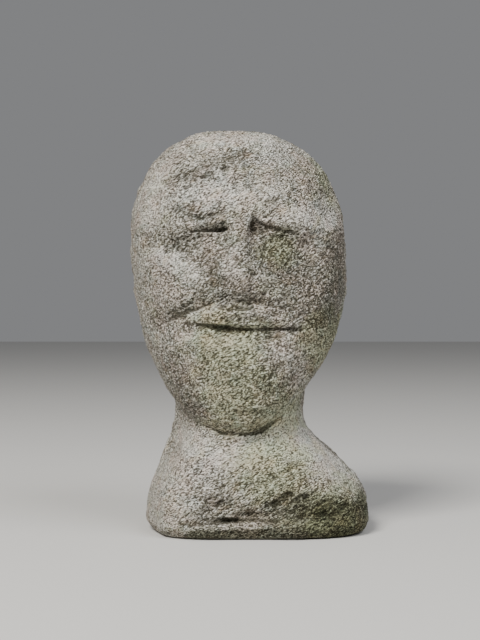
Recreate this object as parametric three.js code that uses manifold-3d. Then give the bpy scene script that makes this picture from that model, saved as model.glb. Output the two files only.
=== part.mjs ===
// A hand-carved stone head on its neck and shoulder block, all cut from one piece of coarse stone.
// Millimetres, +Z up. The face looks along -Y, and +X is on the right of someone who looks at it.
// The origin is on the flat underside, straight below the middle of the head.
// The body is a stack of closed rings: each column of the grid is the outline of the stone in one
// direction from the upright axis, and one row of it follows the edge where the jaw overhangs the neck.

import * as THREE from "three";
import { mergeVertices, toCreasedNormals } from "three/addons/utils/BufferGeometryUtils.js";
import Module from "manifold-3d";

const wasm = await Module();
wasm.setup();

// Overall sizes of the head
const TOTAL_HEIGHT = 327;
const CHIN_HEIGHT = 79.5;
const CHIN_TUCK = 4;
const HEAD_WIDTH = 179;
const FACE_REACH = 78;
const SKULL_REACH = 76;
const CROWN_LEAN = 5;
const RIGHT_JAW_LOSS = 7;

// Sizes of the neck and of the shoulder block, measured out from the upright axis
const NECK_LEFT_REACH = 56;
const NECK_RIGHT_REACH = 53;
const NECK_FRONT_REACH = 62;
const NAPE_REACH = 52;
const LEFT_SHOULDER_REACH = 76;
const RIGHT_SHOULDER_REACH = 106;
const BLOCK_FRONT_REACH = 71;
const BLOCK_BACK_REACH = 66;
const FOOT_ROUNDING = 10;

// The flat hewn along the left flank, as distances from the axis and a turn towards the front in radians
const FLANK_NECK_REACH = 53;
const FLANK_FOOT_REACH = 80;
const FLANK_TURN = 0.34;
const LEAST_FACING = 0.2;

// Depths of the carving
const BROW_DEPTH = 6;
const NOSE_RISE = 7;
const CHEEK_RISE = 4;
const LIP_RISE = 3.6;
const LIP_FALL = 1.3;
const CHIN_RISE = 2;
const MOUTH_CUT = { depth: 4.5, height: 2.6, leaning: 1, sharpness: 0.4 };
const EYE_PIT = { depth: 4.5, height: 5, leaning: 0.45, sharpness: 0.8 };
const EYE_SLIT = { depth: 3.2, height: 2, leaning: 0.8, sharpness: 0.5 };
const FOOT_GROOVE = { depth: 4.5, height: 2.4, leaning: 1, sharpness: 0.6 };
const FOOT_LEDGE_DEPTH = 3.5;
const BROKEN_HOLLOW_DEPTH = 5;
const HEWN_UNEVENNESS = 1.1;
const HEWN_SPAN = 13;
const WAVE_FADE_REACH = 30;
const JAW_FILLET = 1.8;
const FLANK_FILLET = 3;

// Fineness of the grid and of the cutters
const COLUMNS = 84;
const FACE_CROWDING = 0.42;
const BLOCK_ROWS = 17;
const HEAD_ROWS = 33;
const OUTLINE_SAMPLES = 600;
const JAW_SEARCH_STEPS = 40;
const CUTTER_STEPS = 12;
const CUTTER_SIDES = 8;
const CREASE_ANGLE = Math.PI / 6;
const MERGE_DISTANCE = 1e-4;

// Proportions of the head, as shares of its own height above the chin
const WIDEST_SHARE = 0.573;
const NAPE_SHARE = 0.05;
const RIGHT_JAW_SHARE = 0.12;
const RIGHT_JAW_SPREAD = 0.19;
const LEAN_FROM_SHARE = 0.45;
const headHeight = TOTAL_HEIGHT - CHIN_HEIGHT;
const headHalfWidth = HEAD_WIDTH / 2;
const widestHeight = CHIN_HEIGHT + WIDEST_SHARE * headHeight;
const napeHeight = CHIN_HEIGHT + NAPE_SHARE * headHeight;

// The rounded chin runs on a little below its edge, inside the neck.
const jawBottom = CHIN_HEIGHT - CHIN_TUCK;

// Roundness of the head's outlines: 2 gives an ellipse, and more gives a squarer curve
const WIDTH_ROUNDNESS = { above: 2.45, below: 1.95 };
const FACE_ROUNDNESS = { above: 2.3, below: 7 };
const SKULL_ROUNDNESS = { above: 2.2, below: 2.1 };
const HEAD_SQUARENESS = { crown: 2.35, jaw: 2.9 };
const NECK_SQUARENESS = 2.05;
const FOOT_SQUARENESS = 3.6;

// The shoulders flare from the neck between these shares of the chin's height
const FLARE_FROM_SHARE = 0.24;
const FLARE_TO_SHARE = 1.16;
const RIGHT_FLARE_FULLNESS = 0.78;

const clamp01 = (value) => Math.min(1, Math.max(0, value));

function smoothStep(from, to, value) {
  const t = clamp01((value - from) / (to - from));
  return t * t * (3 - 2 * t);
}

// A hump of height 1 at the centre that fades to 0 at halfWidth on both sides.
function hump(value, centre, halfWidth) {
  const t = (value - centre) / halfWidth;
  return Math.abs(t) < 1 ? (1 - t * t) ** 2 : 0;
}

function smoothMax(a, b, fillet) {
  return (a + b + Math.hypot(a - b, fillet)) / 2;
}

function smoothMin(a, b, fillet) {
  return (a + b - Math.hypot(a - b, fillet)) / 2;
}

const faceShare = (z) => (z - CHIN_HEIGHT) / headHeight;

// Head: an egg, narrow end down

// Share of the full reach that the egg keeps at a height, with its own roundness above and below.
function eggShare(z, lowest, roundness) {
  if (z <= lowest || z >= TOTAL_HEIGHT) return 0;
  const above = z > widestHeight;
  const t = above
    ? (z - widestHeight) / (TOTAL_HEIGHT - widestHeight)
    : (widestHeight - z) / (widestHeight - lowest);
  const power = above ? roundness.above : roundness.below;
  return (1 - t ** power) ** (1 / power);
}

const faceHalfWidth = (z) => headHalfWidth * eggShare(z, jawBottom, WIDTH_ROUNDNESS);
const faceReach = (z) => FACE_REACH * eggShare(z, jawBottom, FACE_ROUNDNESS);
const skullReach = (z) => SKULL_REACH * eggShare(z, napeHeight, SKULL_ROUNDNESS);

// The head is squarer in plan at the jaw than above the mouth.
function headSquareness(z) {
  const { jaw, crown } = HEAD_SQUARENESS;
  return jaw + (crown - jaw) * smoothStep(0, 0.4, faceShare(z));
}

// More stone is hewn away from the right of the jaw than from the left.
function rightHalfWidth(z) {
  const loss = RIGHT_JAW_LOSS * hump(faceShare(z), RIGHT_JAW_SHARE, RIGHT_JAW_SPREAD);
  return Math.max(0, faceHalfWidth(z) - loss);
}

// The head leans to the left towards the crown.
const leanAt = (z) => -CROWN_LEAN * smoothStep(LEAN_FROM_SHARE, 1, faceShare(z));

// Neck and shoulder block

function shoulderFlare(z) {
  return 1 - smoothStep(FLARE_FROM_SHARE * CHIN_HEIGHT, FLARE_TO_SHARE * CHIN_HEIGHT, z);
}

// How far the rounded lower edge draws the block in at a height.
function footInset(z) {
  const t = clamp01(z / FOOT_ROUNDING);
  return FOOT_ROUNDING * (1 - Math.sqrt(1 - (1 - t) ** 2));
}

function blockReach(z, neck, shoulder, fullness = 1) {
  return neck + (shoulder - neck) * shoulderFlare(z) ** fullness - footInset(z);
}

const blockLeft = (z) => blockReach(z, NECK_LEFT_REACH, LEFT_SHOULDER_REACH);
const blockRight = (z) => blockReach(z, NECK_RIGHT_REACH, RIGHT_SHOULDER_REACH, RIGHT_FLARE_FULLNESS);
const blockFront = (z) => blockReach(z, NECK_FRONT_REACH, BLOCK_FRONT_REACH);
const blockBack = (z) => blockReach(z, NAPE_REACH, BLOCK_BACK_REACH);
const blockSquareness = (z) => NECK_SQUARENESS + (FOOT_SQUARENESS - NECK_SQUARENESS) * shoulderFlare(z);

// Plan sections, as distances from the axis in the direction (cos, sin), with cos to the right

function sectionReach(cos, sin, halfWidth, halfDepth, squareness) {
  if (halfWidth <= 0 || halfDepth <= 0) return 0;
  const sum = Math.abs(cos / halfWidth) ** squareness + Math.abs(sin / halfDepth) ** squareness;
  return sum ** (-1 / squareness);
}

function headSection(cos, sin, z) {
  const width = cos < 0 ? faceHalfWidth(z) : rightHalfWidth(z);
  const depth = sin < 0 ? faceReach(z) : skullReach(z);
  return sectionReach(cos, sin, width, depth, headSquareness(z));
}

// The flat along the left flank. In directions that it doesn't face it lies far outside the block.
function flankSection(cos, sin, z) {
  const facing = -cos * Math.cos(FLANK_TURN) - sin * Math.sin(FLANK_TURN);
  return blockReach(z, FLANK_NECK_REACH, FLANK_FOOT_REACH) / Math.max(facing, LEAST_FACING);
}

function blockSection(cos, sin, z) {
  const width = cos < 0 ? blockLeft(z) : blockRight(z);
  const depth = sin < 0 ? blockFront(z) : blockBack(z);
  const round = sectionReach(cos, sin, width, depth, blockSquareness(z));
  return smoothMin(round, flankSection(cos, sin, z), FLANK_FILLET);
}

// The neck ends inside the head, so above the cheeks the head alone is the outline.
function stoneSection(cos, sin, z) {
  const head = headSection(cos, sin, z);
  return z > widestHeight ? head : smoothMax(head, blockSection(cos, sin, z), JAW_FILLET);
}

// Carving, as the depth cut into the front at a place.
// u runs across the face in half widths of the head, and v up it from the chin in heights of the head.

// The brow overhangs the eyes along a line that falls towards the temples. Below it the face comes out
// again over a short stretch on the left, where the cheek is, and over a long one on the right.
function browCut(u, v) {
  const below = 0.675 - 0.075 * Math.abs(u) - v;
  const stretch = u < 0 ? 0.16 : 0.34;
  const faded = u < 0 ? smoothStep(0.42, 0.8, -u) : smoothStep(0.6, 0.95, u);
  const step = smoothStep(-0.004, 0.014, below) * (1 - smoothStep(0.02, stretch, below));
  return BROW_DEPTH * step * smoothStep(0.06, 0.13, Math.abs(u)) * (1 - faded);
}

// A long low wedge that widens down to its blunt tip, a little left of the middle.
function noseCut(u, v) {
  const down = clamp01((0.693 - v) / 0.25);
  const axis = -0.03 + 0.02 * down;
  const halfWidth = 0.13 + 0.14 * down;
  const length = smoothStep(0.418, 0.458, v) * (1 - smoothStep(0.633, 0.753, v));
  return -NOSE_RISE * (0.35 + 0.65 * down) * length * hump(u, axis, halfWidth);
}

// The cheek stands proud above a fold that runs from the side of the nose down to the jaw.
function cheekCut(u, v) {
  const side = Math.abs(u - 0.03);
  const above = v - (0.448 - 0.12 * side);
  const step = smoothStep(-0.008, 0.014, above) * (1 - smoothStep(0.03, 0.17, above));
  const across = smoothStep(0.12, 0.22, side) * (1 - smoothStep(0.6, 0.88, side));
  const strength = u < 0 ? 1 : 0.45;
  return -CHEEK_RISE * strength * step * across;
}

const MOUTH = {
  start: [-0.46, 0.356],
  end: [0.515, 0.339],
  sag: 0.008,
};

// Height of the mouth line at a place across the face, and how far along the mouth that is, from 0 to 1.
function mouthLine(u) {
  const along = (u - MOUTH.start[0]) / (MOUTH.end[0] - MOUTH.start[0]);
  const straight = MOUTH.start[1] + (MOUTH.end[1] - MOUTH.start[1]) * along;
  return { along, height: straight - MOUTH.sag * 4 * along * (1 - along) };
}

// The upper lip is a raised lens above the mouth line, and the stone falls back a little just below it.
function lipCut(u, v) {
  const { along, height } = mouthLine(u);
  if (along <= 0 || along >= 1) return 0;
  const arch = 0.066 * (4 * along * (1 - along)) ** 0.5;
  const above = (v - height) / arch;
  const raised = smoothStep(-0.08, 0.12, above) * (1 - smoothStep(0.6, 1.1, above));
  const below = hump(height - v, 0.012, 0.04);
  return (LIP_FALL * below - LIP_RISE * raised) * Math.sin(Math.PI * along) ** 0.5;
}

function chinCut(u, v) {
  return -CHIN_RISE * hump(u, 0.02, 0.6) * hump(v, 0.17, 0.16);
}

function faceCut(x, z) {
  const u = x / headHalfWidth;
  const v = faceShare(z);
  return browCut(u, v) + noseCut(u, v) + cheekCut(u, v) + lipCut(u, v) + chinCut(u, v);
}

// The front of the block is undercut above a rough ledge along its foot, which rises a little to the
// right, and stone has broken away from the right of that.
function blockCut(x, z) {
  const across = x / RIGHT_SHOULDER_REACH;
  const up = z / CHIN_HEIGHT;
  const over = up - 0.17 - 0.06 * across;
  const length = smoothStep(-0.52, -0.34, across) * (1 - smoothStep(0.62, 0.85, across));
  const ledge = smoothStep(-0.04, 0.02, over) * (1 - smoothStep(0.03, 0.22, over)) * length;
  const hollow = hump(across, 0.38, 0.34) * hump(up, 0.32, 0.18);
  return FOOT_LEDGE_DEPTH * ledge + BROKEN_HOLLOW_DEPTH * hollow;
}

// Slow waves left by the hewing, different on every side.
function hewnWave(x, y, z) {
  const [a, b, c] = [x, y, z].map((place) => place / HEWN_SPAN);
  const wave =
    Math.sin(a + 0.42 * c + 0.8) * Math.sin(0.76 * b - 0.57 * c + 2.1) +
    Math.sin(1.08 * c - 0.48 * a + 4.2) * Math.sin(0.68 * a + 1.18 * b + 1.1) * 0.7;
  return HEWN_UNEVENNESS * wave;
}

// Front surface of the head and of the block, where the narrow cuts are placed

function frontOf(x, halfWidth, reach, squareness) {
  const share = Math.min(0.999, Math.abs(x) / halfWidth);
  return -reach * (1 - share ** squareness) ** (1 / squareness);
}

function headFront(x, z) {
  return frontOf(x - leanAt(z), faceHalfWidth(z), faceReach(z), headSquareness(z)) + faceCut(x, z);
}

function shoulderFront(x, z) {
  const halfWidth = x < 0 ? blockLeft(z) : blockRight(z);
  return frontOf(x, halfWidth, blockFront(z), blockSquareness(z)) + blockCut(x, z);
}

// The carved surface as a grid of columns and rows

// Directions of the columns, closest together at the face.
function columnAngles() {
  const angles = [];
  for (let i = 0; i < COLUMNS; i++) {
    const turn = (2 * Math.PI * i) / COLUMNS;
    angles.push(-Math.PI / 2 + turn - FACE_CROWDING * Math.sin(turn));
  }
  return angles;
}

// Height at which the head comes out over the neck in one direction.
function jawHeight(cos, sin) {
  let low = CHIN_HEIGHT;
  let high = widestHeight;
  for (let i = 0; i < JAW_SEARCH_STEPS; i++) {
    const middle = (low + high) / 2;
    if (headSection(cos, sin, middle) < blockSection(cos, sin, middle)) low = middle;
    else high = middle;
  }
  return low;
}

// Heights of count + 1 rows between two heights, evenly along the outline and closer where density is high.
function rowHeights(cos, sin, from, to, count, density) {
  const heights = [];
  const lengths = [0];
  for (let k = 0; k <= OUTLINE_SAMPLES; k++) {
    heights.push(from + (to - from) * Math.sin((Math.PI / 2) * (k / OUTLINE_SAMPLES)));
  }
  for (let k = 1; k <= OUTLINE_SAMPLES; k++) {
    const rise = heights[k] - heights[k - 1];
    const run = stoneSection(cos, sin, heights[k]) - stoneSection(cos, sin, heights[k - 1]);
    lengths.push(lengths[k - 1] + Math.hypot(rise, run) * density((heights[k] + heights[k - 1]) / 2));
  }
  const rows = [];
  let k = 0;
  for (let row = 0; row <= count; row++) {
    const wanted = (lengths[OUTLINE_SAMPLES] * row) / count;
    while (k < OUTLINE_SAMPLES - 1 && lengths[k + 1] < wanted) k++;
    const t = clamp01((wanted - lengths[k]) / (lengths[k + 1] - lengths[k]));
    rows.push(heights[k] + (heights[k + 1] - heights[k]) * t);
  }
  return rows;
}

// Rows lie closer from the mouth to the brow than over the rest of the head.
function faceDensity(z) {
  const v = faceShare(z);
  return 1 + 1.2 * smoothStep(0.21, 0.33, v) * (1 - smoothStep(0.69, 0.77, v));
}

function surfacePoint(cos, sin, z) {
  const reach = stoneSection(cos, sin, z);
  const lift = smoothStep(0, FOOT_ROUNDING, z);
  const wave = hewnWave(reach * cos, reach * sin, z) * lift * clamp01(reach / WAVE_FADE_REACH);
  const x = (reach + wave) * cos + leanAt(z);
  const y = (reach + wave) * sin;
  const overhang = headSection(cos, sin, z) - blockSection(cos, sin, z);
  const isHead = smoothStep(-JAW_FILLET, JAW_FILLET, overhang);
  const frontness = smoothStep(0.05, 0.45, -sin);
  const cut = isHead * faceCut(x, z) + (1 - isHead) * lift * blockCut(x, z);
  return new THREE.Vector3(x, y + cut * frontness, z);
}

function carvedBody() {
  const positions = [];
  const rowCount = BLOCK_ROWS + HEAD_ROWS;
  for (const angle of columnAngles()) {
    const cos = Math.cos(angle);
    const sin = Math.sin(angle);
    const jaw = jawHeight(cos, sin);
    const block = rowHeights(cos, sin, 0, jaw, BLOCK_ROWS, () => 1);
    const head = rowHeights(cos, sin, jaw, TOTAL_HEIGHT, HEAD_ROWS, faceDensity);
    for (const z of [...block, ...head.slice(1, -1)]) {
      positions.push(...surfacePoint(cos, sin, z).toArray());
    }
  }
  const middle = positions.length / 3;
  positions.push(0, 0, 0);
  const crown = middle + 1;
  positions.push(leanAt(TOTAL_HEIGHT), 0, TOTAL_HEIGHT);

  const faces = [];
  for (let column = 0; column < COLUMNS; column++) {
    const here = column * rowCount;
    const next = ((column + 1) % COLUMNS) * rowCount;
    faces.push(middle, next, here);
    for (let row = 0; row < rowCount - 1; row++) {
      faces.push(here + row, next + row, next + row + 1);
      faces.push(here + row, next + row + 1, here + row + 1);
    }
    faces.push(here + rowCount - 1, next + rowCount - 1, crown);
  }
  const geometry = new THREE.BufferGeometry();
  geometry.setAttribute("position", new THREE.Float32BufferAttribute(positions, 3));
  geometry.setIndex(faces);
  return geometry;
}

// Narrow chisel cuts

// A cutter that is pointed at both ends and follows a surface from one place on it to another.
// start and end are [x, z], sag bows the line down, and depth and height are its half thicknesses.
// leaning below 1 brings its thickest part nearer to the start, and sharpness draws its points out.
function chiselCutter({ start, end, sag = 0, depth, height, leaning, sharpness }, surface) {
  const outline = [];
  for (let i = 0; i <= CUTTER_STEPS; i++) {
    const along = i / CUTTER_STEPS;
    outline.push(new THREE.Vector2(Math.sin(Math.PI * along ** leaning) ** sharpness, along));
  }
  outline[0].x = 0;
  outline[CUTTER_STEPS].x = 0;
  const geometry = new THREE.LatheGeometry(outline, CUTTER_SIDES);
  const across = new THREE.Vector2(start[1] - end[1], end[0] - start[0]).normalize();
  const places = geometry.attributes.position;
  for (let i = 0; i < places.count; i++) {
    const along = places.getY(i);
    const side = places.getZ(i) * height;
    const x = start[0] + (end[0] - start[0]) * along + across.x * side;
    const bow = sag * 4 * along * (1 - along);
    const z = start[1] + (end[1] - start[1]) * along - bow + across.y * side;
    places.setXYZ(i, x, surface(x, z) + places.getX(i) * depth, z);
  }
  return geometry;
}

function solidFrom(geometry) {
  const bare = geometry.clone();
  bare.deleteAttribute("normal");
  bare.deleteAttribute("uv");
  const merged = mergeVertices(bare, MERGE_DISTANCE);
  const mesh = new wasm.Mesh({
    numProp: 3,
    vertProperties: new Float32Array(merged.attributes.position.array),
    triVerts: new Uint32Array(merged.index.array),
  });
  const solid = new wasm.Manifold(mesh);
  if (solid.volume() > 0) return solid;
  for (let i = 0; i < mesh.triVerts.length; i += 3) {
    [mesh.triVerts[i], mesh.triVerts[i + 1]] = [mesh.triVerts[i + 1], mesh.triVerts[i]];
  }
  return new wasm.Manifold(mesh);
}

function geometryFrom(solid) {
  const mesh = solid.getMesh();
  const geometry = new THREE.BufferGeometry();
  geometry.setAttribute("position", new THREE.BufferAttribute(mesh.vertProperties, 3));
  geometry.setIndex(new THREE.BufferAttribute(mesh.triVerts, 1));
  return toCreasedNormals(geometry, CREASE_ANGLE);
}

const onFace = ([u, v]) => [u * headHalfWidth, CHIN_HEIGHT + v * headHeight];
const onBlock = ([across, up]) => [across * RIGHT_SHOULDER_REACH, up * CHIN_HEIGHT];

function chiselCuts() {
  const face = (line, size) =>
    chiselCutter(
      { start: onFace(line.start), end: onFace(line.end), sag: (line.sag ?? 0) * headHeight, ...size },
      headFront,
    );
  const block = (line, size) =>
    chiselCutter({ start: onBlock(line.start), end: onBlock(line.end), ...size }, shoulderFront);
  return [
    face(MOUTH, MOUTH_CUT),
    face({ start: [-0.104, 0.667], end: [-0.31, 0.653] }, EYE_PIT),
    face({ start: [-0.13, 0.654], end: [-0.5, 0.643] }, EYE_SLIT),
    face({ start: [0.074, 0.667], end: [0.27, 0.653] }, EYE_PIT),
    face({ start: [0.11, 0.656], end: [0.535, 0.639] }, EYE_SLIT),
    block({ start: [-0.4, 0.172], end: [0.16, 0.214] }, FOOT_GROOVE),
  ];
}

let stone = solidFrom(carvedBody());
for (const cutter of chiselCuts()) {
  stone = stone.subtract(solidFrom(cutter));
}

const paleStone = new THREE.MeshStandardMaterial({ color: 0xa29b8a, roughness: 0.95, metalness: 0 });

const stoneHead = new THREE.Mesh(geometryFrom(stone), paleStone);
stoneHead.name = "stone_head";

const carving = new THREE.Group();
carving.add(stoneHead);

export default carving;
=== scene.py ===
import math

import bpy
import numpy as np
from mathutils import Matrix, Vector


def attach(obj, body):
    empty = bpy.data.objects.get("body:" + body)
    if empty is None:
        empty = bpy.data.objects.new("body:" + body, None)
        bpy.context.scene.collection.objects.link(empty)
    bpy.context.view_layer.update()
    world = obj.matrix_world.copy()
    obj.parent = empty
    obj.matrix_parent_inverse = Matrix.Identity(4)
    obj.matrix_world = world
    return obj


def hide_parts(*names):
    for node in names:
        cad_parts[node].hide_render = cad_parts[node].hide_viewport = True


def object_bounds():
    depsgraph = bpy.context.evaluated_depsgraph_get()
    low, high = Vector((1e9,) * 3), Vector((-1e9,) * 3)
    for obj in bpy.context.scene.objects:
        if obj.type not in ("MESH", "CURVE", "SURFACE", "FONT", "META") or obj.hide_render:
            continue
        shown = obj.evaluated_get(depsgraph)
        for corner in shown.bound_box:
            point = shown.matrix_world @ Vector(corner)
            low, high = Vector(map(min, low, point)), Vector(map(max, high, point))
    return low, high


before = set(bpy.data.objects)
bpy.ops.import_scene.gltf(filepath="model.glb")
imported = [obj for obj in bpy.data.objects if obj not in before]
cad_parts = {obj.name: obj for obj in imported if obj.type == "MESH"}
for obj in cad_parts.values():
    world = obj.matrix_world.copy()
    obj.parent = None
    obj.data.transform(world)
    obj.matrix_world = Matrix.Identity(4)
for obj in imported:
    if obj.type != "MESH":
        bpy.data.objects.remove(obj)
cad_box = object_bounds()

# Camera
# It stands a metre in front of the middle of the stone, a little over half as high as the stone,
# and looks very slightly down.
CAMERA_DISTANCE = 1.0
CAMERA_HEIGHT = 0.178
CAMERA_TILT = math.radians(0.43)
CAMERA_LENS = 67.8

bpy.ops.object.select_all(action="DESELECT")
bpy.ops.object.camera_add(
    location=(0, -CAMERA_DISTANCE, CAMERA_HEIGHT),
    rotation=(math.pi / 2 - CAMERA_TILT, 0, 0),
)
camera = bpy.context.object
camera.name = "camera"
camera.data.lens = CAMERA_LENS
bpy.context.scene.camera = camera

# Carved stone: the form
# One block of coarse grey gritstone, hewn with a point and a chisel to a head, a short neck and a
# lopsided shoulder block, and left out in the weather. It stands on its own flat underside.
MM = 0.001
MERGE_GAP = 0.01 * MM
MESH_SIZE = 2.25 * MM
FRONT_FACING = 0.12
SMOOTHING = 0.5
SOFTENING_ROUNDS = 2

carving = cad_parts["stone_head"]
bpy.ops.object.select_all(action="DESELECT")
stone = bpy.data.objects.new("carved_stone", carving.data.copy())
bpy.context.scene.collection.objects.link(stone)
stone.select_set(True)
bpy.context.view_layer.objects.active = stone
bpy.ops.object.mode_set(mode="EDIT")
bpy.ops.mesh.select_all(action="SELECT")
bpy.ops.mesh.remove_doubles(threshold=MERGE_GAP)
bpy.ops.object.mode_set(mode="OBJECT")


def finish_with(kind, **settings):
    """Adds a modifier to the active piece, sets it and applies it."""
    modifier = bpy.context.object.modifiers.new(kind.lower(), kind)
    for name, value in settings.items():
        setattr(modifier, name, value)
    bpy.ops.object.modifier_apply(modifier=modifier.name)


def rows_of(items, name):
    """The x, y and z of a vector that every item of a mesh has, as three rows."""
    flat = np.empty(len(items) * 3)
    items.foreach_get(name, flat)
    return flat.reshape(-1, 3).T


# The front gets a finer mesh than the back, and both are laid back onto the carving's own surface.
finish_with("REMESH", mode="VOXEL", voxel_size=MESH_SIZE)
stone.data.polygons.foreach_set("select", rows_of(stone.data.polygons, "normal")[1] < -FRONT_FACING)
bpy.context.tool_settings.mesh_select_mode = (False, False, True)
bpy.ops.object.mode_set(mode="EDIT")
bpy.ops.mesh.subdivide(number_cuts=1)
bpy.ops.object.mode_set(mode="OBJECT")
finish_with("SHRINKWRAP", target=carving)
finish_with("SMOOTH", factor=SMOOTHING, iterations=SOFTENING_ROUNDS)

# Carved stone: the face and the foot
# The eyes, mouth and folds are a few strokes of the chisel each, steep on one side. Chips and the marks
# of the point are left between them, and the foot is undercut along a rough ledge.
FRONT_BEGINS = 8
FRONT_WHOLE = 24
LEAST_SHARE = 0.004
LEAST_WIDTH = 0.4
WALL_CURVE = 1.5
WORN_ROUNDS = 12


def rise(value, low, high):
    """0 below low, 1 above high, and a smooth rise between them."""
    t = np.clip((value - low) / (high - low), 0, 1)
    return t * t * (3 - 2 * t)


def places():
    """The x, y and z of every point on the stone, in millimetres."""
    return rows_of(stone.data.vertices, "co") / MM


def front():
    """1 over the front of the stone and 0 over its back."""
    _, y, _ = places()
    return rise(-y, FRONT_BEGINS, FRONT_WHOLE)


def finish_places(name, share, kind, **settings):
    """Finishes the stone with a modifier that acts by a share from 0 to 1 at each place."""
    group = stone.vertex_groups.new(name=name)
    for index in np.flatnonzero(share > LEAST_SHARE):
        group.add([int(index)], float(min(share[index], 1)), "REPLACE")
    finish_with(kind, vertex_group=name, **settings)
    stone.vertex_groups.remove(stone.vertex_groups[name])


def cut(line, above, below):
    """Depth in mm at every place of a stroke along a line of (x, z, depth) points on the front.

    It fades out at one distance above the line and at another below it, so one of its walls is steep,
    and both distances shrink where the stroke is shallow.
    """
    x, _, z = places()
    deepest = max(depth for _, _, depth in line)
    stroke = np.zeros_like(x)
    for (x0, z0, depth0), (x1, z1, depth1) in zip(line, line[1:]):
        run, climb = x1 - x0, z1 - z0
        length = math.hypot(run, climb)
        along = np.clip(((x - x0) * run + (z - z0) * climb) / length**2, 0, 1)
        off_x, off_z = x - x0 - along * run, z - z0 - along * climb
        is_above = off_z * run - off_x * climb > 0
        depth = depth0 + (depth1 - depth0) * along
        reach = np.where(is_above, above, below) * (LEAST_WIDTH + (1 - LEAST_WIDTH) * depth / deepest)
        near = 1 - (off_x**2 + off_z**2) / reach**2
        stroke = np.maximum(stroke, np.clip(near, 0, 1) ** WALL_CURVE * depth)
    return stroke


def cuts(strokes):
    """The deepest of several strokes at every place, over the front alone."""
    return np.maximum.reduce([cut(*stroke) for stroke in strokes]) * front()


def carve(name, strokes, depth_sign=1):
    """Sinks strokes into the front by their own depths, or raises them where the sign is -1."""
    depth = cuts(strokes)
    deepest = depth.max()
    settings = {"direction": "Y", "mid_level": 0, "strength": depth_sign * deepest * MM}
    finish_places(name, depth / deepest, "DISPLACE", **settings)


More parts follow.
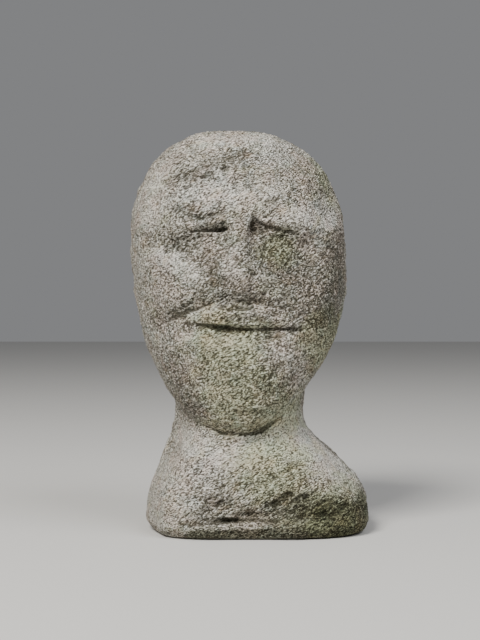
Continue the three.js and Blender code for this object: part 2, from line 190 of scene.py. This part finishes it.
# Each stroke is its line and the distances at which it fades out above and below that. On a line that
# goes down, above is its right side.
SOFTENED_STROKES = [
    ([(-46, 12, 1.0), (18, 16, 1.0)], 9, 7),
    ([(-34, 88, 1.0), (-14, 82, 1.0), (16, 83, 1.0), (38, 99, 1.0)], 7, 6),
    ([(-76, 230, 1.0), (-44, 238, 1.0)], 11, 11),
    ([(-40, 240, 0.5), (-11, 246, 1.0)], 7, 7),
    ([(8, 246, 1.0), (44, 239, 0.5)], 7, 7),
    ([(48, 236, 1.0), (82, 226, 1.0)], 14, 14),
    ([(9, 236, 1.0), (10, 192, 1.0)], 10, 10),
]
SUNK_STROKES = {
    "eyes": [
        ([(-42, 238.6, 0.9), (-33, 239, 2.0), (-24, 239.6, 3.0), (-13, 240, 3.4)], 6.0, 1.4),
        ([(-10.5, 250.5, 0.8), (-12, 246, 1.6), (-14, 241, 1.8)], 1.8, 6.0),
        ([(9.8, 250.5, 1.0), (9.4, 245, 2.0), (9, 240, 1.2)], 5.0, 2.0),
        (
            [
                (10, 249.5, 1.6),
                (15, 245.4, 2.4),
                (20, 243, 2.2),
                (34, 240.4, 2.0),
                (45, 237.8, 1.2),
            ],
            1.4,
            3.4,
        ),
    ],
    "mouth": [
        ([(-43, 167.8, 1.3), (-32, 166.8, 1.2), (-22, 166, 1.1), (0, 164.4, 1.6)], 2.6, 1.3),
        ([(0, 164.4, 1.8), (24, 164, 2.4), (42, 163.4, 2.0), (48, 163, 0.6)], 3.4, 1.4),
    ],
    "folds": [
        ([(-70, 163, 0.9), (-55, 171, 2.0), (-44, 176, 3.0), (-34, 179.4, 3.4), (-14, 187, 2.2)], 9.0, 1.8),
        ([(18, 184, 0.5), (34, 180, 1.0), (50, 174, 0.4)], 6.0, 2.5),
        ([(-10.5, 237, 0.4), (-16, 220, 1.0), (-20.5, 207, 1.3), (-15, 193, 0.9)], 3.0, 7.0),
        (
            [
                (-66, 228, 0.3),
                (-50, 227.4, 0.9),
                (-41, 223.6, 1.4),
                (-32, 212, 0.8),
                (-27, 203, 0.4),
            ],
            9.0,
            1.6,
        ),
        ([(-2, 184, 0.5), (11, 186, 0.8)], 4.0, 5.0),
        ([(-14, 171.6, 0.7), (4, 171.4, 1.4), (28, 168.8, 0.9)], 3.4, 3.4),
        ([(-28, 252, 0.8), (-16, 255, 1.2), (-8, 260, 0.4)], 5.0, 3.0),
    ],
    "chips": [
        ([(-64, 236, 0.3), (-46, 239, 0.5)], 9.0, 8.0),
        ([(-37, 251, 0.9), (-28, 249, 1.5), (-26.5, 250.5, 0.8)], 2.6, 1.8),
        ([(-23, 251.5, 1.0), (-17.5, 253, 1.5)], 2.4, 1.6),
        ([(-36, 280.5, 0.6), (-29, 281.5, 2.0), (-22, 284.5, 0.8)], 3.6, 1.8),
        ([(-42.5, 273.5, 1.2), (-39.5, 275, 1.4)], 2.6, 1.6),
        ([(-52, 280, 0.3), (-30, 289, 1.3), (2, 302, 0.4)], 7.0, 5.0),
        ([(-13, 288.5, 1.2), (-9.5, 289.5, 1.2)], 2.4, 1.8),
        ([(7, 208, 0.8), (10.5, 206, 1.0)], 3.5, 3.0),
        ([(3, 195, 0.7), (8, 193, 0.9)], 3.5, 3.0),
        ([(18, 137, 0.8), (19.5, 120, 0.6)], 1.8, 1.8),
        ([(23, 138, 0.8), (24.5, 119, 0.6)], 1.8, 1.8),
        ([(28.5, 137, 0.8), (30, 120, 0.6)], 1.8, 1.8),
        ([(34, 134, 0.7), (35, 122, 0.5)], 1.8, 1.8),
    ],
    "jaw": [
        ([(-34, 90, 0.6), (-25, 87.8, 0.8), (-14.5, 82.5, 1.0), (8, 82, 1.2), (16, 83.5, 1.2)], 1.6, 2.0),
        (
            [
                (16, 83.5, 1.2),
                (25, 89.4, 1.2),
                (33, 94.9, 1.1),
                (37.7, 99.1, 1.0),
                (49, 111.6, 0.6),
            ],
            1.6,
            2.0,
        ),
    ],
    "foot": [
        (
            [
                (-46, 11.6, 1.4),
                (-36, 12.6, 2.4),
                (-20, 13.6, 1.0),
                (-6, 14.6, 1.7),
                (10, 15.4, 2.2),
                (29, 14.4, 1.2),
            ],
            5.0,
            1.3,
        ),
        ([(-2, 17, 1.4), (6, 20, 2.8), (13, 18, 1.8)], 6.0, 3.0),
        ([(8, 16, 0.8), (22, 19, 1.8), (34, 21, 0.8)], 6.0, 2.0),
        ([(18, 24, 1.0), (27, 28, 2.2), (38, 30, 1.2)], 4.0, 4.0),
        ([(30, 32, 1.4), (38, 35, 2.2)], 3.5, 4.0),
        ([(43, 29, 1.0), (50, 32, 1.6), (58, 30.5, 0.8)], 3.4, 3.0),
        ([(-22, 27.5, 0.8), (-14, 29, 1.6)], 4.0, 3.0),
        ([(20, 44, 0.5), (44, 57, 1.4), (60, 62, 0.4)], 4.0, 2.0),
        ([(34, 12, 0.6), (50, 19, 1.4)], 3.0, 1.6),
        ([(44, 9, 0.6), (66, 20, 1.4)], 3.0, 1.6),
        ([(58, 12, 0.6), (84, 26, 1.2)], 2.4, 1.6),
        ([(66, 33, 0.8), (92, 46, 1.2)], 3.4, 1.8),
    ],
}
RAISED_STROKES = [
    ([(48, 230, 0.8), (62, 226, 1.6), (78, 218, 0.8)], 8.0, 9.0),
    ([(13, 232, 1.2), (14, 212, 2.0), (17, 196, 1.2)], 8.0, 8.0),
    ([(-15, 174.4, 1.0), (-6, 177.6, 2.2), (8, 177.4, 2.2), (20, 174.6, 1.6), (36, 171.4, 0.6)], 1.6, 3.2),
    ([(10, 183.4, 0.5), (20, 181.6, 1.0), (44, 176.6, 0.4)], 1.6, 4.0),
    ([(-40, 171.5, 0.4), (-28, 177, 1.4), (-17, 181, 0.6)], 5.0, 6.0),
    ([(-40, 243, 0.5), (-26, 247, 1.6), (-16, 252, 0.6)], 3.0, 2.4),
    ([(20, 246, 0.4), (34, 244, 1.4), (52, 242, 0.8), (74, 240, 0.6)], 8.0, 1.6),
    ([(-64, 222, 0.8), (-50, 217, 2.0), (-36, 208, 0.8)], 9.0, 14.0),
    ([(-40, 8.5, 0.8), (-4, 10.5, 1.6), (14, 10.5, 1.4), (38, 16, 1.6), (72, 15, 0.8)], 2.0, 5.0),
]

finish_places("softened", cuts(SOFTENED_STROKES), "SMOOTH", factor=SMOOTHING, iterations=WORN_ROUNDS)
for name, strokes in SUNK_STROKES.items():
    carve(name, strokes)
carve("ridges", RAISED_STROKES, depth_sign=-1)

# Carved stone: the hewn surface
# The point leaves shallow scoops, and the coarse grain breaks out between them along the stone's bedding,
# which rises to the right. The left flank and the neck were dressed smoother, and the underside is flat.
BEDDING_TILT = math.radians(-26)
BEDDING_STRETCH = 2.1
TEXTURE_MIDDLE = 0.62
TEXTURE_DETAIL = 1
BOX_MARGIN = 0.05
FLAT_UNDER = 0.3
FLANK_SIDE = (-0.94, -0.34)
# The distances or heights in mm at which each of these begins and is whole.
FLANK_EDGE = (57, 66)
FLANK_TOP = (88, 108)
CROWN_EDGE = (285, 318)
LEFT_EDGE = (52, 84)
FOOT_EDGE = (0.4, 2.4)
SCOOPED_FOOT = (0.6, 6)
# The roughness of plain stone, and what pitting adds to it and wear and dressing take from it.
PLAIN_ROUGHNESS = 0.72
PITTED_ROUGHNESS = 0.4
RUBBED_SMOOTHNESS = 0.35
WORN_SMOOTHNESS = 0.08
DRESSED_SMOOTHNESS = 0.6
BACK_BRUISES = 0.9

bpy.ops.object.select_all(action="DESELECT")
bpy.ops.object.empty_add(rotation=(0, BEDDING_TILT, 0))
bedding = bpy.context.object
bedding.scale = (BEDDING_STRETCH, 1, 1)
bpy.context.view_layer.objects.active = stone
stone.select_set(True)


def smooth_flank():
    """1 on the dressed left flank of the block and 0 over the rest."""
    x, y, z = places()
    outwards = x * FLANK_SIDE[0] + y * FLANK_SIDE[1]
    return rise(outwards, *FLANK_EDGE) * (1 - rise(z, *FLANK_TOP))


# Zones that are pitted, dented and rubbed most, as strokes with a share from 0 to 1. The rubbed zones also
# paint light on the neck, the right shoulder and the left of the forehead.
PITTED_ZONES = [
    ([(-56, 279, 0.8), (-30, 288, 0.9), (6, 303, 0.6)], 8, 8),
    ([(50, 288, 0.2), (66, 268, 0.3)], 12, 12),
    ([(-50, 256, 0.8), (-30, 251, 1.0), (-14, 252, 0.8)], 7, 5),
    ([(-70, 234, 0.5), (-52, 236, 0.7), (-36, 231, 0.6)], 9, 9),
    ([(-66, 172, 0.7), (-34, 186, 0.9), (-12, 200, 0.8)], 10, 3),
    ([(-18, 190, 0.4), (0, 186, 0.4), (16, 190, 0.6)], 10, 8),
    ([(-14, 170.6, 0.3), (28, 168.6, 0.3)], 4, 3),
    ([(-26, 222, 0.6), (-18, 200, 0.9), (4, 196, 0.9)], 12, 14),
    ([(2, 236, 0.3), (5, 204, 0.4)], 12, 12),
    ([(26, 222, 0.7), (44, 200, 0.95), (64, 184, 1.0)], 34, 34),
    ([(74, 232, 0.8), (78, 196, 1.0)], 20, 20),
    ([(-20, 140, 0.2), (20, 118, 0.35)], 26, 26),
    ([(16, 26, 0.4), (50, 26, 0.9), (92, 20, 1.0)], 16, 14),
    ([(-60, 6, 0.6), (30, 6, 0.6), (90, 6, 1.0)], 6, 8),
    ([(-28, 28, 0.7), (-8, 30, 0.7)], 8, 7),
    ([(-56, 140, 0.6), (-36, 104, 0.8)], 14, 14),
]
DENTED_ZONES = [
    ([(-60, 276, 1.15), (54, 282, 1.15)], 44, 34),
    ([(-60, 190, 0.3), (70, 190, 0.3)], 60, 60),
    ([(-30, 130, 0.9), (24, 122, 0.9)], 40, 34),
    ([(-36, 40, 0.9), (90, 34, 0.65)], 40, 40),
]
# On the neck, the right shoulder and the left of the forehead these zones also paint light, besides the
# rubbed wear.
RUBBED_AND_PAINTED_LIGHT_ZONES = [
    ([(-66, 282, 0.9), (-72, 256, 0.9)], 18, 18),
    ([(-70, 222, 0.5), (-48, 214, 0.8), (-34, 206, 0.5)], 8, 12),
    ([(-38, 174, 0.8), (-17, 180, 0.8)], 5, 5),
    ([(36, 252, 0.8), (72, 246, 0.8)], 9, 7),
    ([(-40, 268, 0.6), (0, 264, 0.7), (30, 272, 0.5)], 13, 11),
    ([(-40, 158, 0.8), (-8, 154, 0.9), (10, 156, 0.5)], 8, 10),
    ([(-44, 76, 1.0), (0, 66, 1.0), (36, 74, 1.0)], 16, 20),
    ([(-30, 312, 0.8), (20, 314, 0.8)], 12, 10),
    ([(34, 84, 1.0), (50, 80, 1.2), (84, 48, 0.8)], 26, 24),
    ([(-9, 218, 0.6), (2, 203, 0.5)], 5, 5),
]


def roughness():
    """How rough the stone is at every place: most where it is pitted, least where it was dressed smooth."""
    x, _, z = places()
    rough = PLAIN_ROUGHNESS + PITTED_ROUGHNESS * cuts(PITTED_ZONES)
    rough -= RUBBED_SMOOTHNESS * cuts(RUBBED_AND_PAINTED_LIGHT_ZONES)
    rough -= WORN_SMOOTHNESS * rise(z, *CROWN_EDGE)
    rough -= WORN_SMOOTHNESS * rise(-x, *LEFT_EDGE)
    return rough * (1 - DRESSED_SMOOTHNESS * smooth_flank()) * rise(z, *FOOT_EDGE)


def roughen(name, share, size, depth):
    """Moves the surface in and out by soft lumps of a size in mm that lie along the bedding."""
    texture = bpy.data.textures.new(name, "CLOUDS")
    texture.noise_scale = size * MM
    texture.noise_depth = TEXTURE_DETAIL
    finish_places(
        name,
        share,
        "DISPLACE",
        strength=depth * MM,
        texture=texture,
        texture_coords="OBJECT",
        texture_coords_object=bedding,
        mid_level=TEXTURE_MIDDLE,
    )


roughen("scoops", rise(places()[2], *SCOOPED_FOOT), size=24, depth=3.6)
bruised = (cuts(DENTED_ZONES) + BACK_BRUISES * (1 - front())) * roughness()
roughen("bruises", bruised, size=9, depth=5.4)
roughen("lumps", roughness(), size=3.2, depth=1.0)
roughen("grain", roughness(), size=1.5, depth=1.8)
bpy.data.objects.remove(bedding)

low, high = np.array(cad_box).reshape(2, 3, 1) / MM
kept_inside = np.clip(places(), low + BOX_MARGIN, high - BOX_MARGIN)
kept_inside[2] = np.where(kept_inside[2] < low[2] + FLAT_UNDER, low[2], kept_inside[2])
stone.data.vertices.foreach_set("co", (kept_inside * MM).T.ravel())

bpy.ops.object.shade_smooth()
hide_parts("stone_head")
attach(stone, "root")


# Carved stone: its weathering and its painted light and shade, as attributes
# Painted shade darkens the pits, the hollows and the faces that look down. The raised grain is rubbed
# paler, thin grey lichen grows in patches, and lichen spots and rubbed zones also paint light on the neck,
# the right shoulder and the left of the forehead. The foot is stained dark and green where it stood in the
# damp, and painted shade darkens it there as well.
PIT_ROUNDS = 6
HOLLOW_ROUNDS = 110
UNDERSIDE_EDGE = (0.1, 0.75)
# How far the damp stain reaches; it also paints shade low down.
DAMP_AND_SHADE_HEIGHT = 17
DAMP_AND_SHADE_CLIMB = 38
DAMP_AND_SHADE_RIGHT = (8, 60)
DAMP_AND_SHADE_FULL = 0.15
FLANK_LESS_DAMP_AND_SHADE = 0.7
FLANK_RUBBED = 0.6


def hollowness(rounds):
    """How far the surface lies under its own smoothed form, in millimetres, above 0 in hollows."""
    mesh = stone.data
    count = len(mesh.vertices)
    ends = np.empty(len(mesh.edges) * 2, dtype=np.int64)
    mesh.edges.foreach_get("vertices", ends)
    a, b = ends.reshape(-1, 2).T
    degree = np.bincount(a, minlength=count) + np.bincount(b, minlength=count)
    start = places()
    smoothed = start.copy()
    for _ in range(rounds):
        for axis in range(3):
            row = smoothed[axis]
            summed = np.bincount(a, row[b], count) + np.bincount(b, row[a], count)
            smoothed[axis] = (row + summed / degree) / 2
    return ((smoothed - start) * rows_of(mesh.vertices, "normal")).sum(0)


def patches(spots):
    """1 at the middle of soft round spots on the front, each given as x, z and radius in mm."""
    x, _, z = places()
    near = [1 - np.hypot(x - spot_x, z - spot_z) / radius for spot_x, spot_z, radius in spots]
    return np.clip(np.maximum.reduce(near), 0, 1) * front()


def undersides():
    """1 where the surface faces the ground, and 0 where it is upright or faces up."""
    return rise(-rows_of(stone.data.vertices, "normal")[2], *UNDERSIDE_EDGE)


def damp_and_shade():
    """How the stone is stained and given painted shade near the ground, all round and higher on the right
    of the front.
    """
    x, _, z = places()
    reach = DAMP_AND_SHADE_HEIGHT + DAMP_AND_SHADE_CLIMB * rise(x, *DAMP_AND_SHADE_RIGHT) * front()
    return (1 - rise(z, DAMP_AND_SHADE_FULL * reach, reach)) * (1 - FLANK_LESS_DAMP_AND_SHADE * smooth_flank())


# Lichen patches; the spots on the neck and the shoulders also paint light there.
LICHEN_AND_PAINTED_LIGHT_SPOTS = [
    (48, 86, 40),
    (66, 64, 34),
    (-18, 272, 30),
    (-42, 268, 22),
    (26, 300, 26),
    (62, 252, 26),
    (-54, 214, 20),
    (-6, 208, 14),
    (82, 44, 22),
    (50, 80, 30),
    (-30, 60, 24),
]
GREEN_SPOTS = [
    (30, 226, 22),
    (-10, 150, 44),
    (0, 112, 48),
    (30, 96, 34),
    (30, 50, 44),
    (70, 20, 40),
    (84, 290, 36),
    (74, 150, 40),
]
WEATHERING = {
    # The pits take painted shade, and the raised grain between them is paler.
    "pits": hollowness(PIT_ROUNDS),
    # The hollows take painted shade.
    "hollows": hollowness(HOLLOW_ROUNDS),
    # Lichen, and painted light on the neck and the shoulders.
    "lichen_and_painted_light": patches(LICHEN_AND_PAINTED_LIGHT_SPOTS),
    "green": patches(GREEN_SPOTS),
    # The damp stain, and painted shade low down.
    "damp_and_shade": damp_and_shade(),
    # The faces that look down take painted shade.
    "undersides": undersides(),
    "pitted": cuts(PITTED_ZONES),
    # Rubbed wear, and painted light on the neck, the right shoulder and the left of the forehead.
    "rubbed_and_painted_light": np.maximum(cuts(RUBBED_AND_PAINTED_LIGHT_ZONES), FLANK_RUBBED * smooth_flank()),
}
for name, values in WEATHERING.items():
    weathering = stone.data.attributes.new(name, "FLOAT", "POINT")
    weathering.data.foreach_set("value", values.astype(np.float32))


# Carved stone: the material, with painted light and shade
# Pale quartz grains and dark gaps about a millimetre across, with painted shade darkening the gaps, in warm
# grey stone with pinkish, rusty, slaty and greenish tints, thin grey lichen in patches, painted shade in
# the pits, the hollows and on the undersides, painted light on the neck, the right shoulder and the left of
# the forehead, and a damp stain low down that also paints shade there.
class Field:
    """A shader socket in an expression. Arithmetic on it adds Math nodes, and node adds any other."""

    tree = None

    def __init__(self, socket):
        self.socket = socket

    @classmethod
    def node(cls, kind, settings, values, output=0):
        made = cls.tree.nodes.new("ShaderNode" + kind)
        for name, value in settings.items():
            setattr(made, name, value)
        for name, value in values.items():
            if isinstance(value, Field):
                cls.tree.links.new(value.socket, made.inputs[name])
            else:
                made.inputs[name].default_value = value
        return cls(made.outputs[output])

    def math(self, operation, other, swapped=False):
        pair = (other, self) if swapped else (self, other)
        return Field.node("Math", {"operation": operation}, dict(enumerate(pair)))

    def __add__(self, other):
        return self.math("ADD", other)

    def __sub__(self, other):
        return self.math("SUBTRACT", other)

    def __mul__(self, other):
        return self.math("MULTIPLY", other)

    def __rsub__(self, other):
        return self.math("SUBTRACT", other, swapped=True)

    __radd__ = __add__
    __rmul__ = __mul__

    def rise(self, low, high):
        """0 at low and 1 at high, with a smooth rise or fall between them."""
        settings = {"interpolation_type": "SMOOTHSTEP"}
        return Field.node("MapRange", settings, {"Value": self, "From Min": low, "From Max": high})


def mixed(share, first, second, blend):
    """One colour with another laid on it where share is 1."""
    settings = {"data_type": "RGBA", "blend_type": blend}
    return Field.node("Mix", settings, {0: share, 6: first, 7: second}, output=2)


material = bpy.data.materials.new("weathered gritstone")
material.use_nodes = True
Field.tree = material.node_tree
shader = material.node_tree.nodes["Principled BSDF"]

place = Field.node("TexCoord", {}, {}, output=3)
bedded = Field.node(
    "Mapping",
    {"vector_type": "TEXTURE"},
    {"Vector": place, "Rotation": (0, BEDDING_TILT, 0), "Scale": (BEDDING_STRETCH, 1, 1)},
)


def noise(size, detail, harshness, vector=place):
    """Soft noise from 0 to 1 on a lattice of a size in mm."""
    values = {"Vector": vector, "Scale": 1 / (size * MM), "Detail": detail, "Roughness": harshness}
    return Field.node("TexNoise", {"normalize": True}, values)


def grains(size, output=0):
    """Cells of a size in mm: the distance from their middle, or their random colour."""
    return Field.node("TexVoronoi", {}, {"Vector": bedded, "Scale": 1 / (size * MM)}, output=output)


def attribute(name):
    """A number that every point of the stone carries."""
    return Field.node("Attribute", {"attribute_name": name}, {}, output=2)


def channel(colour, index):
    """One of the three parts of a colour."""
    return Field.node("SeparateColor", {}, {"Color": colour}, output=index)


WARM_GREY = (0.61, 0.57, 0.485, 1)
# Pale grey of rubbed stone, also used as painted light on the neck, the right shoulder and the left of the
# forehead.
RUBBED_AND_PAINTED_LIGHT_GREY = (0.80, 0.755, 0.665, 1)
BROWN_GREY = (0.285, 0.26, 0.2, 1)
PALE_GRAIN = (1.0, 0.965, 0.89, 1)
# Dark brown of the dark grains and the gaps, also used as painted shade in the gaps and the low lumps.
GAP_BROWN_AND_SHADE = (0.072, 0.064, 0.045, 1)
# Painted shade in the pits.
PIT_SHADE_BROWN = (0.055, 0.048, 0.032, 1)
# Lichen grey, also used as painted light on the neck and the shoulders.
LICHEN_AND_PAINTED_LIGHT_GREY = (0.82, 0.815, 0.765, 1)
PINK_TINT = (1.0, 0.935, 0.925, 1)
RUSTY_TINT = (0.97, 0.89, 0.77, 1)
SLATE_TINT = (0.89, 0.935, 0.95, 1)
GREEN_TINT = (0.84, 0.895, 0.72, 1)
SHADED_TINT = (0.42, 0.42, 0.32, 1)
PITTED_TINT = (0.70, 0.70, 0.68, 1)
# The damp stain, which also paints shade low down.
DAMP_AND_SHADE_TINT = (0.49, 0.505, 0.425, 1)
GRAIN_SIZE = 0.8
GRIT_SIZE = 0.95
LUMP_SIZE = 2.2
BUMP_HEIGHT = 2.2
STONE_ROUGHNESS = 0.93
STONE_SPECULAR = 0.25

pits = attribute("pits")
hollows = attribute("hollows")
pitted = attribute("pitted")
rubbed_and_painted_light = attribute("rubbed_and_painted_light")
grit = noise(GRIT_SIZE, 1.0, 0.6, bedded)
lump = noise(LUMP_SIZE, 1.5, 0.6, bedded)
# The gaps between the grains, which the layers below darken with painted shade as well as their own colour.
gap = (grit - pitted * 0.03 + rubbed_and_painted_light * 0.05).rise(0.53, 0.4)
grain_tone = channel(grains(GRAIN_SIZE, output=1), 0)

brown = noise(10, 3.0, 0.65, bedded) - pitted * 0.18 + rubbed_and_painted_light * 0.1
# Lichen patches, and painted light on the neck and the shoulders.
lichen_and_painted_light = (attribute("lichen_and_painted_light") * 0.5 + noise(7, 5.0, 0.75) * 1.1).rise(0.66, 0.86)
green = (attribute("green") * 0.6 + noise(14, 4.0, 0.65, bedded) * 0.9).rise(0.42, 0.85)
# The damp stain, which also paints shade low down.
stain_and_shade = (attribute("damp_and_shade") * 0.9 + noise(7, 3.0, 0.6) * 0.5).rise(0.32, 1.1)
pink = noise(18, 3.0, 0.6).rise(0.45, 0.6)
rusty = noise(9, 2.0, 0.6, bedded).rise(0.56, 0.7)
slate = noise(13, 2.0, 0.6).rise(0.54, 0.66)

# Each layer is its share, its colour and how it is laid on those before it.
layers = [
    # Rubbed stone is paler; on the neck, the right shoulder and the left of the forehead this is painted
    # light as well.
    (rubbed_and_painted_light * 0.8, RUBBED_AND_PAINTED_LIGHT_GREY, "MIX"),
    (brown.rise(0.54, 0.34) * 0.65, BROWN_GREY, "MIX"),
    # Lichen patches, which on the neck and the shoulders are painted light as well.
    (lichen_and_painted_light * 0.7, LICHEN_AND_PAINTED_LIGHT_GREY, "MIX"),
    (grain_tone.rise(0.56, 0.84) * 0.95, PALE_GRAIN, "MIX"),
    (pits.rise(-0.03, -0.3) * 0.4, PALE_GRAIN, "MIX"),
    # Painted shade in the low lumps.
    (lump.rise(0.5, 0.36) * 0.15, GAP_BROWN_AND_SHADE, "MIX"),
    ((grain_tone + rubbed_and_painted_light * 0.12).rise(0.4, 0.1) * 0.95, GAP_BROWN_AND_SHADE, "MIX"),
    # Dark gaps between the grains, partly their own colour and partly painted shade.
    (gap * 0.88, GAP_BROWN_AND_SHADE, "MIX"),
    # Painted shade in the pits.
    (pits.rise(0.03, 0.35) * 0.7, PIT_SHADE_BROWN, "MIX"),
    (pink, PINK_TINT, "MULTIPLY"),
    (rusty * 0.6, RUSTY_TINT, "MULTIPLY"),
    (slate, SLATE_TINT, "MULTIPLY"),
    (green, GREEN_TINT, "MULTIPLY"),
    (pitted, PITTED_TINT, "MULTIPLY"),
    # Painted shade in the hollows.
    (hollows.rise(0.8, 3.6) * 0.75, SHADED_TINT, "MULTIPLY"),
    # Painted shade on the faces that look down.
    (attribute("undersides") * 0.1, SHADED_TINT, "MULTIPLY"),
    # The damp stain low down, which also paints shade there.
    (stain_and_shade, DAMP_AND_SHADE_TINT, "MULTIPLY"),
]
colour = WARM_GREY
for share, tone, blend in layers:
    colour = mixed(share, colour, tone, blend)

height = grit * 0.7 + lump * 0.3 - grains(GRAIN_SIZE) * 0.8
bump = Field.node("Bump", {}, {"Strength": 1.0, "Distance": BUMP_HEIGHT * MM, "Height": height})
links = material.node_tree.links
links.new(colour.socket, shader.inputs["Base Color"])
links.new(bump.socket, shader.inputs["Normal"])
shader.inputs["Roughness"].default_value = STONE_ROUGHNESS
shader.inputs["Specular IOR Level"].default_value = STONE_SPECULAR
stone.data.materials.clear()
stone.data.materials.append(material)

# Floor and light
# A plain pale floor, and the soft light of a large window high on the left with a weak pale fill.
FLOOR_WIDTH = 12
FLOOR_COLOUR = (0.62, 0.61, 0.59, 1)
FLOOR_ROUGHNESS = 0.9
STUDIO_COLOUR = (0.75, 0.76, 0.78, 1)
STUDIO_STRENGTH = 0.3

bpy.ops.object.select_all(action="DESELECT")
bpy.ops.mesh.primitive_plane_add(size=FLOOR_WIDTH)
floor = bpy.context.object
floor.name = "floor"
paint = bpy.data.materials.new("pale floor")
paint.use_nodes = True
paint.node_tree.nodes["Principled BSDF"].inputs["Base Color"].default_value = FLOOR_COLOUR
paint.node_tree.nodes["Principled BSDF"].inputs["Roughness"].default_value = FLOOR_ROUGHNESS
floor.data.materials.append(paint)


def soft_light(name, position, size, power, colour):
    """A square light that faces the middle of the stone."""
    x, y, z = position
    turn = math.atan2(x, -y)
    lift = math.atan2(z - CAMERA_HEIGHT, math.hypot(x, y))
    rotation = (math.pi / 2 - lift, 0, turn)
    bpy.ops.object.light_add(type="AREA", location=position, rotation=rotation)
    light = bpy.context.object
    light.name = name
    light.data.size = size
    light.data.energy = power
    light.data.color = colour


soft_light("window", position=(-0.92, -1.5, 1.98), size=0.9, power=86, colour=(1.0, 0.98, 0.93))
soft_light("fill", position=(1.3, -1.2, 2.0), size=1.4, power=31, colour=(0.97, 0.98, 1.0))

world = bpy.data.worlds.new("studio")
bpy.context.scene.world = world
world.use_nodes = True
world.node_tree.nodes["Background"].inputs["Color"].default_value = STUDIO_COLOUR
world.node_tree.nodes["Background"].inputs["Strength"].default_value = STUDIO_STRENGTH
